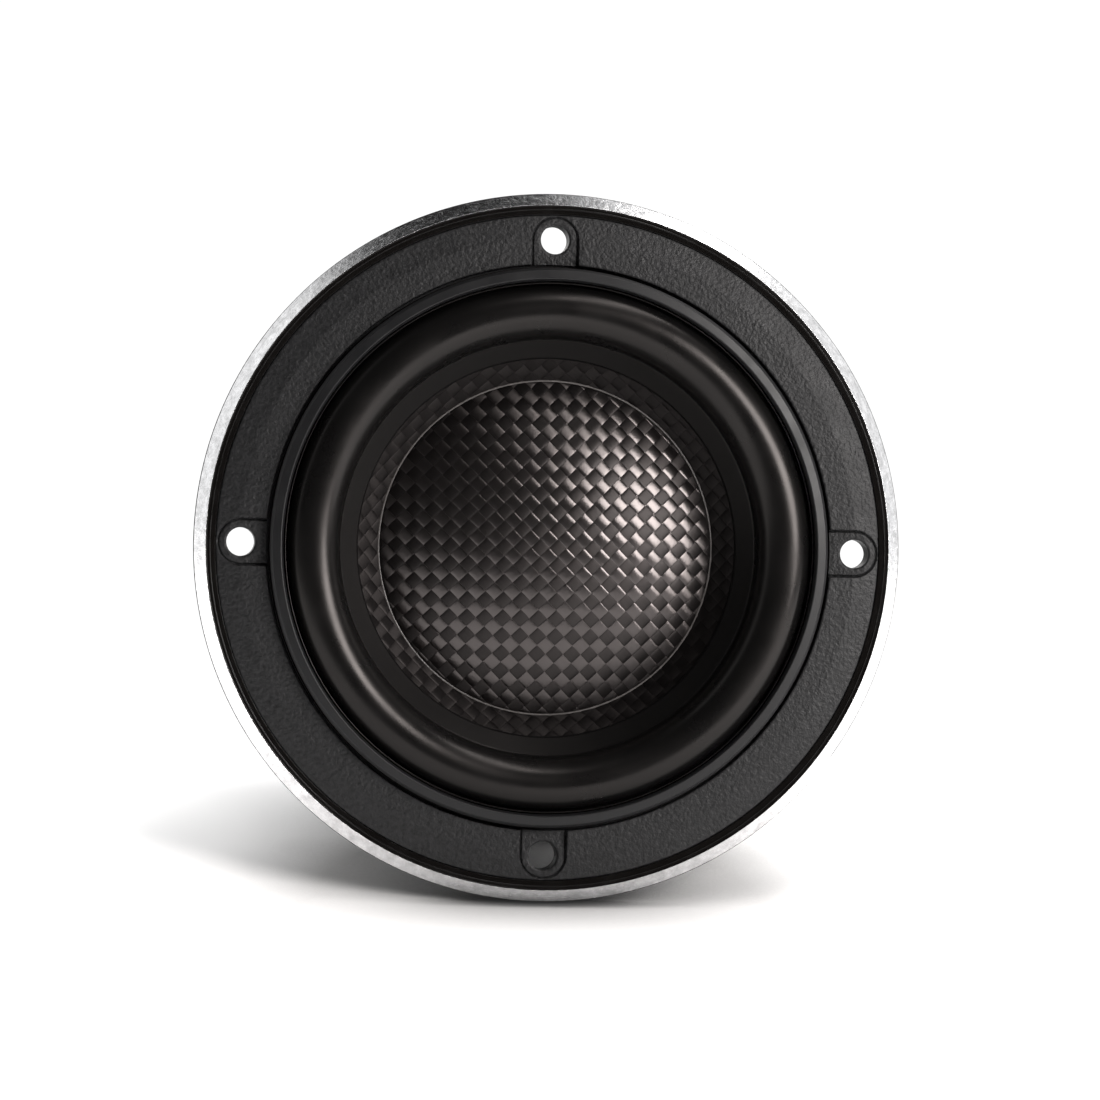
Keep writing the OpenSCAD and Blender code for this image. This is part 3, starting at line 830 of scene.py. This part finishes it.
def woven_skin(name, inner, outer, surface_z, depth, flatten):
    """The weave laid on a surface of revolution between two radii, with a smooth back depth below it,
    and each face's tow direction. flatten(r) is the radius that the cloth had before it was formed."""
    past = 9
    sink_w = 0.35
    x, y, height, warp, index = weave(flatten(outer) + 2 * CELL)
    flat = np.hypot(x, y)
    radius = np.interp(
        flat, [flatten(inner) - past, flatten(inner), flatten(outer), flatten(outer) + past],
        [inner - past, inner, outer, outer + past])
    radius = np.where(inner > 0, radius, flat)
    inside = (radius <= outer) & (radius >= inner)
    n = len(index)
    ids = np.arange(n * n).reshape(n, n)
    corners = np.stack([ids[:-1, :-1], ids[1:, :-1], ids[1:, 1:], ids[:-1, 1:]], axis=-1).reshape(-1, 4)
    corners = corners[inside.ravel()[corners].any(axis=1)]
    held = np.clip(radius, inner, outer)
    scale = np.where(flat > 0, held / np.maximum(flat, 1e-6), 1)
    px, py = (x * scale).ravel(), (y * scale).ravel()
    rr = np.hypot(px, py)
    sink = np.minimum(eased((outer - rr) / sink_w), eased((rr - inner) / sink_w) if inner > 0 else 1)
    pz = surface_z(rr) + height.ravel() * sink
    bz = surface_z(rr) - depth
    used = np.unique(corners)
    renumber = np.full(n * n, -1)
    renumber[used] = np.arange(len(used))
    top = renumber[corners]
    count = len(used)
    edges = np.concatenate([top[:, [k, (k + 1) % 4]] for k in range(4)])
    keys = dict.fromkeys(map(tuple, edges.tolist()))
    border = [(a, b) for a, b in keys if (b, a) not in keys]
    vertices = [row(a, b, c) for a, b, c in zip(px[used], py[used], pz[used])]
    vertices += [row(a, b, c) for a, b, c in zip(px[used], py[used], bz[used])]
    faces = [tuple(f) for f in top] + [tuple(count + k for k in f[::-1]) for f in top]
    faces += [(b, a, count + a, count + b) for a, b in border]
    made = add_mesh(name, vertices, faces, sharp_angle=60)
    tow = np.where(warp.ravel()[corners[:, 0]], 0, 1)
    slots = np.zeros(len(made.data.polygons), np.int32)
    slots[: 2 * len(top)] = np.tile(tow, 2)
    return made, slots


def carbon_piece(skin, tows, *replaced):
    """Gives a woven skin its two tow materials, one for each direction of the cloth."""
    made, slots = skin
    attach(made, "cone_assembly", tows[0], "woven_carbon", *replaced)
    made.data.materials.append(tows[1])
    made.data.polygons.foreach_set("material_index", slots)
    weld(made, 2e-6)


def dome_z(r):
    return DOME_TOP_Z - TOW_H - DOME_BALL_R + np.sqrt(DOME_BALL_R**2 - r**2)


def dome(tows, resin):
    """The woven dome with the bead of resin round its edge."""
    skin = woven_skin("woven_dome", 0, DOME_R, dome_z, SKIN_T, lambda r: r)
    carbon_piece(skin, tows, "dust_cap")
    edge_z = dome_z(DOME_R)
    bead = lathe("dome_edge_bead", [
        (DOME_R - 0.3, edge_z - 0.15), (DOME_R + 0.12, edge_z - 0.4),
        (DOME_R + 0.12, edge_z + 0.16, 0.12), (DOME_R - 0.1, edge_z + 0.26, 0.12),
        (DOME_R - 0.26, edge_z + 0.14, 0.1)], segments=288)
    attach(bead, "cone_assembly", resin, "woven_carbon")


def cone(tows, inner_material):
    """A smooth body of revolution with the woven band that shows round the dome."""
    lap = 0.9
    slant = math.hypot(1, CONE_SLOPE)
    skin = woven_skin(
        "woven_cone_band", DOME_R - lap, LANDING_R + lap, lambda r: cone_z(r) - TOW_H, SKIN_T * 0.5,
        lambda r: DOME_R + (r - DOME_R) * slant)
    carbon_piece(skin, tows)
    drop = SKIN_T * slant
    under = 0.3
    body = lathe("cone_body", [
        (CONE_R, CONE_EDGE_Z - under), (CONE_R, CONE_EDGE_Z - drop), (NECK_R, cone_z(NECK_R) - drop),
        (NECK_R, cone_z(NECK_R) - under)])
    attach(body, "cone_assembly", inner_material, "woven_carbon", "cone")


# ---- Coil ----


def coil(former_material, copper, paper):
    """The former, the winding with its turns of wire, and the paper collar."""
    r, former_t = high("voice_coil_former", 0), 0.2
    end, top = back_z("voice_coil_former"), front_z("voice_coil_former")
    former = lathe("coil_former", [(r - former_t, end), (r, end), (r, top), (r - former_t, top)])
    attach(former, "cone_assembly", former_material, "coil_former", "voice_coil_former")
    wire_r = 0.15
    wind_low, wind_high = back_z("voice_coil_winding"), front_z("voice_coil_winding")
    outer = high("voice_coil_winding", 0)
    turns = int((wind_high - wind_low) / (2 * wire_r))
    bumps = []
    for k in range(turns):
        middle = wind_low + (k + 0.5) * (wind_high - wind_low) / turns
        for t in (-0.96, 0, 0.96):
            bumps.append((outer - wire_r + wire_r * math.cos(t), middle + wire_r * math.sin(t)))
    winding = lathe("coil_winding", [(r, wind_low), *bumps, (r, wind_high)], segments=128)
    attach(winding, "cone_assembly", copper, "copper", "voice_coil_winding")
    collar_r = high("former_collar", 0)
    low_z, high_z = back_z("former_collar"), front_z("former_collar")
    collar = lathe("paper_collar", [
        (r, low_z), (collar_r, low_z, 0.05), (collar_r, high_z, 0.05), (r, high_z)])
    attach(collar, "cone_assembly", paper, "kraft_paper", "former_collar")


# ---- Motor ----


def motor(steel, ferrite, boot_rubber):
    """Top plate, magnet, yoke and the boot with its grooves."""
    plate_low, plate_high = back_z("top_plate"), front_z("top_plate")
    plate = lathe("steel_top_plate", [
        (PLATE_IN_R, plate_low, 0.15), (PLATE_R, plate_low, 0.5), (PLATE_R, plate_high, 0.5),
        (PLATE_IN_R, plate_high, 0.15)])
    attach(plate, "frame", steel, "plated_steel", "top_plate")
    ring = lathe("ferrite_ring", [
        (MAGNET_IN_R, YOKE_Z, 0.5), (MAGNET_R, YOKE_Z, 1), (MAGNET_R, MAGNET_Z, 1),
        (MAGNET_IN_R, MAGNET_Z, 0.5)])
    attach(ring, "frame", ferrite, "ferrite", "magnet")
    pole_z, seat_r, seat_z = BASE_Z + 0.4, SCREEN_R + 0.1, REAR_Z + 1
    yoke = lathe("steel_yoke", [
        (VENT_R, seat_z), (seat_r, seat_z), (seat_r, REAR_Z, 0.2), (YOKE_R, REAR_Z, 1.6),
        (YOKE_R, YOKE_Z, 0.3), (POLE_R, YOKE_Z), (POLE_R, pole_z, 0.3), (VENT_R, pole_z, 0.6)])
    attach(yoke, "frame", steel, "plated_steel", "yoke")
    inside = MAGNET_R + 0.1
    grooves, groove_t, plain = 5, 0.35, 3
    lowest, highest = REAR_Z + plain, BOOT_FRONT_Z - plain
    side = []
    for k in range(grooves):
        middle = lowest + (highest - lowest) * (k + 0.5) / grooves
        side += [(BOOT_R, middle - 0.9, 0.15), (BOOT_R - groove_t, middle - 0.55, 0.15),
                 (BOOT_R - groove_t, middle + 0.55, 0.15), (BOOT_R, middle + 0.9, 0.15)]
    boot = lathe("rubber_boot", [
        (inside, BOOT_FRONT_Z, 0.2), (inside, REAR_Z, 0.6), (BOOT_OPEN_R, REAR_Z, 0.2),
        (BOOT_OPEN_R, BOOT_REAR_Z, 0.5), (BOOT_R, BOOT_REAR_Z, 2.2), *side, (BOOT_R, BOOT_FRONT_Z, 0.5)])
    attach(boot, "frame", boot_rubber, "boot_rubber", "magnet_boot")


def paint_node(name, material, bevel=0.0):
    """Gives a CAD node its material, with softened edges where bevel is given in millimetres."""
    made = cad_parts[name]
    dress(made, material)
    if bevel:
        close = made.modifiers.new("weld", "WELD")
        close.merge_threshold = 1e-6
        soft = made.modifiers.new("bevel", "BEVEL")
        soft.width = bevel * MM
        soft.segments = 3
        soft.limit_method = "ANGLE"
        soft.angle_limit = math.radians(40)
        soft.harden_normals = True


# ---- Leads ----

LEAD_R = 0.6
LEAD_START = (39.5, 6.6, -11)
LEAD_END_R = 14
LEAD_END_ANGLE = 24
LEAD_END_Z = -12.1
LEAD_BOW_ASIDE = 2.2
LEAD_BOW_UP = 1.3


def lead_route(side, t):
    """The CAD lead's route: inward from its rivet, a slack bow, then on to its pad."""
    start_x, start_y, start_z = LEAD_START
    end_angle = math.radians(side * LEAD_END_ANGLE)
    ease = t * t * (3 - 2 * t)
    bow = math.sin(math.pi * t)
    x = start_x + (LEAD_END_R * math.cos(end_angle) - start_x) * t
    y = side * start_y + (LEAD_END_R * math.sin(end_angle) - side * start_y) * ease
    y += side * LEAD_BOW_ASIDE * bow * t
    z = start_z + (LEAD_END_Z - start_z) * ease + LEAD_BOW_UP * bow * (1 - 0.35 * t)
    return Vector(turned_to(TERMINAL_ANGLE)(x, y, z))


def braided_lead(name, side, material, node):
    """Strands wound round the route both ways, as in a tinsel braid."""
    rings, sides, strands, twists = 110, 6, 6, 9
    strand_r = 0.17
    vertices, faces, shares = [], [], []
    for s in range(strands):
        way = 1 if s % 2 else -1
        base = len(vertices)
        for i in range(rings + 1):
            t = i / rings
            ahead = lead_route(side, min(t + 0.01, 1)) - lead_route(side, max(t - 0.01, 0))
            forward = ahead.normalized()
            u = forward.cross(Vector((0, 0, 1))).normalized()
            v = u.cross(forward)
            turn = way * t * twists * 2 * math.pi + s * 2 * math.pi / strands
            reach = LEAD_R - strand_r + 0.05 * math.sin(3 * turn)
            middle = lead_route(side, t) + reach * (math.cos(turn) * u + math.sin(turn) * v)
            for k in range(sides):
                a = k * 2 * math.pi / sides
                vertices.append(row(*(middle + strand_r * (math.cos(a) * u + math.sin(a) * v))))
                shares.append(t)
        for i in range(rings):
            for k in range(sides):
                a, b = base + i * sides + k, base + i * sides + (k + 1) % sides
                faces.append((a, b, b + sides, a + sides))
        faces.append(tuple(base + k for k in range(sides - 1, -1, -1)))
        faces.append(tuple(base + rings * sides + k for k in range(sides)))
    made = add_mesh(name, vertices, faces)
    attach_flexing(made, material, "tinsel_braid", eased(np.array(shares)), node)


# ---- Build ----

casting = black_casting()
basket_casting(casting, wall_paint())
rim_chamfer(turned_aluminium())
rim_band(band_paint())
front_trim(textured_trim())
clamp_ring(smooth_trim())
gasket(matte("gasket_foam", (0.014, 0.014, 0.014), 0.9, 0.3, 0.06))
surround(rubber("surround_rubber", (0.0025, 0.0024, 0.0024), 0.3),
         rubber("landing_rubber", (0.0025, 0.0024, 0.0024), 0.5, 0.1))
spider(spider_cloth())
half = math.sqrt(0.5)
diagonals = (half, 0, -half), (half, 0, half)
dome_tows = [
    woven_carbon("dome_tow_up", diagonals[0], 0.84, 0.3, 0.85, 0.015),
    woven_carbon("dome_tow_down", diagonals[1], 0.26, 0.46, 0.55, 0.02)]
cone_tows = [
    woven_carbon("cone_tow_up", diagonals[0], 0.1, 0.4, 0.8, 0.0),
    woven_carbon("cone_tow_down", diagonals[1], 0.14, 0.5, 0.6, 0.0)]
resin = matte("dome_edge_resin", (0.06, 0.055, 0.053), 0.3, 0.2, 0.01)
dome(dome_tows, resin)
cone(cone_tows, matte("cone_back", (0.02, 0.019, 0.019), 0.5, 0.3, 0.03))
copper = metal("copper", (0.75, 0.36, 0.2), 0.32)
former_brown = matte("coil_former", (0.35, 0.17, 0.05), 0.3, 0.4, 0.01)
enamelled_copper = metal("enamelled_copper", (0.62, 0.25, 0.11), 0.3, 0.3)
coil(former_brown, enamelled_copper, matte("kraft_paper", (0.3, 0.19, 0.09), 0.8, 0.25, 0.03))
steel = turned_metal("plated_steel", (0.42, 0.42, 0.43), 0.34)
dark_steel = metal("dark_steel", (0.1, 0.1, 0.105), 0.36)
aluminium = turned_metal("bare_aluminium", (0.8, 0.8, 0.82), 0.28)
ferrite = matte("ferrite", (0.05, 0.05, 0.054), 0.55, 0.35, 0.05)
motor(steel, ferrite, rubber("boot_rubber", (0.013, 0.013, 0.0135), 0.52))
paint_node("pole_cap", copper)
paint_node("shorting_ring", aluminium)
brass = metal("tinned_brass", (0.66, 0.6, 0.45), 0.3, 0.3)
tin = metal("tinned_steel", (0.62, 0.62, 0.62), 0.32, 0.3)
paint_node("vent_screen", dark_steel)
paint_node("basket_screws", dark_steel)
paint_node("terminal_board", matte("terminal_laminate", (0.02, 0.02, 0.02), 0.45, 0.4, 0.02), 0.15)
paint_node("positive_terminal", brass, 0.12)
paint_node("negative_terminal", tin, 0.12)
paint_node("terminal_rivets", brass)
paint_node("terminal_screw", dark_steel)
paint_node("lead_pads", tin, 0.1)
braid = metal("tinsel_braid", (0.66, 0.55, 0.42), 0.36, 0.25)
braided_lead("braided_lead_positive", 1, braid, "tinsel_lead_positive")
braided_lead("braided_lead_negative", -1, braid, "tinsel_lead_negative")

# ---- Floor, light and surroundings ----


def floor():
    """The speaker leans back on its boot, so the floor touches the rim's rear edge and the boot's.
    It has painted light: an emission glow that grows away from the rim and in front of it, as a lit sweep
    looks. It has painted shade: its colour is darkest where ambient occlusion finds the driver close above
    it, leaving little open air."""
    rim = Vector((0, -GASKET_T, -RIM_R))
    heel = Vector((0, -BOOT_REAR_Z - 2, -BOOT_R))
    along = (heel - rim).normalized()
    front, back, half = 1500, 80, 1500
    points = [rim + along * d + Vector((x, 0, 0)) for d, x in (
        (-front, -half), (-front, half), (back, half), (back, -half))]
    made = add_mesh("floor", [p * MM for p in points], [(0, 1, 2, 3)])
    f = Finish("floor_white", (0.93, 0.93, 0.93), 0.65, specular=0.2)
    f.bump(f.noise(30, 2), 0.05)
    away = f.node("ShaderNodeVectorMath", operation="DISTANCE", inputs={0: f.place, 1: rim}, output=1)
    depth = f.reach((0, 1, 0))
    # Painted light: the floor glows more the further it lies from the rim and in front of the flange, so the
    # lamps' shadows fade to white.
    painted_glow = f.math("ADD", f.ranged(away, 36, 75, 0.0, 0.55), f.ranged(away, 110, 260, 0.0, 0.5))
    painted_glow = f.math("MAXIMUM", painted_glow, f.ranged(depth, 0, -45, 0.0, 0.55))
    f.tree.links.new(painted_glow, f.shader.inputs["Emission Strength"])
    f.set(Emission_Color=(1, 1, 1, 1))
    # Painted shade: ambient occlusion darkens the floor's colour where the driver is close above it, behind
    # the flange only, as a contact shadow.
    painted_shade_mask = f.node("ShaderNodeAmbientOcclusion", inputs={"Distance": 30 * MM}, output=1)
    painted_shade_mask = f.math("MAXIMUM", painted_shade_mask, f.ranged(depth, 0, -45, 0.0, 1.0))
    f.vary_color(painted_shade_mask, 0.06, 1.0, 0.3, 0.93)
    made.data.materials.append(f.material)


def softbox(name, azimuth, elevation, away, width, height, power, lean=0):
    """An area light that faces the driver. Azimuth is 0 in front and 90 at the right. Lean turns the
    light about its own axis. Angles are in degrees, lengths in metres and power in watts."""
    a, e = math.radians(azimuth), math.radians(elevation)
    back = Vector((math.sin(a) * math.cos(e), -math.cos(a) * math.cos(e), math.sin(e)))
    lamp = bpy.data.lights.new(name, "AREA")
    lamp.shape = "RECTANGLE"
    lamp.size, lamp.size_y = width, height
    lamp.energy = power
    lamp.color = (1, 0.965, 0.945)
    made = add_object(name, lamp)
    made.location = back * away
    made.rotation_mode = "QUATERNION"
    turn = Matrix.Rotation(math.radians(lean), 3, "Z").to_quaternion()
    made.rotation_quaternion = (-back).to_track_quat("-Z", "Y") @ turn


def surroundings():
    """White behind and beside the driver, dark in front of it and above, as in a white product tent
    seen through its open front."""
    world = bpy.data.worlds.new("surroundings")
    bpy.context.scene.world = world
    world.use_nodes = True
    tree = world.node_tree
    tree.nodes.clear()

    def node(kind, inputs=None, **settings):
        made = tree.nodes.new(kind)
        for key, value in settings.items():
            setattr(made, key, value)
        for key, value in (inputs or {}).items():
            if isinstance(value, bpy.types.NodeSocket):
                tree.links.new(value, made.inputs[key])
            else:
                made.inputs[key].default_value = value
        return made

    way = node("ShaderNodeTexCoord").outputs["Generated"]

    def toward(direction, near, far):
        """0 where the view's share along a direction is near, 1 where it is far."""
        share = node("ShaderNodeVectorMath", {0: way, 1: direction}, operation="DOT_PRODUCT").outputs[1]
        return node("ShaderNodeMapRange", {"Value": share, "From Min": near, "From Max": far}).outputs[0]

    behind = toward((-0.1, 1, 0), -0.2, -0.04)
    below_roof = toward((-0.2, 0, 0.98), 0.95, 0.84)
    both = node("ShaderNodeMath", {0: behind, 1: below_roof}, operation="MULTIPLY")
    dim = node("ShaderNodeMapRange", {"Value": both.outputs[0], "To Min": 0.02, "To Max": 1.2})
    seen = node("ShaderNodeLightPath").outputs["Is Camera Ray"]
    shown = node("ShaderNodeMix", {0: seen, 2: dim.outputs[0], 3: 1.05}, data_type="FLOAT")
    back = node("ShaderNodeBackground", {"Color": (1, 1, 1, 1), "Strength": shown.outputs[0]})
    node("ShaderNodeOutputWorld", {0: back.outputs[0]})


floor()
surroundings()
softbox("key_light", 43, 14, away=0.9, width=0.6, height=0.34, power=14, lean=-40)
softbox("top_light", 60, 65, away=1.0, width=1.0, height=0.16, power=5)
softbox("back_light", 200, 30, away=1.1, width=0.7, height=0.5, power=4)
bpy.context.scene.view_settings.view_transform = "Standard"
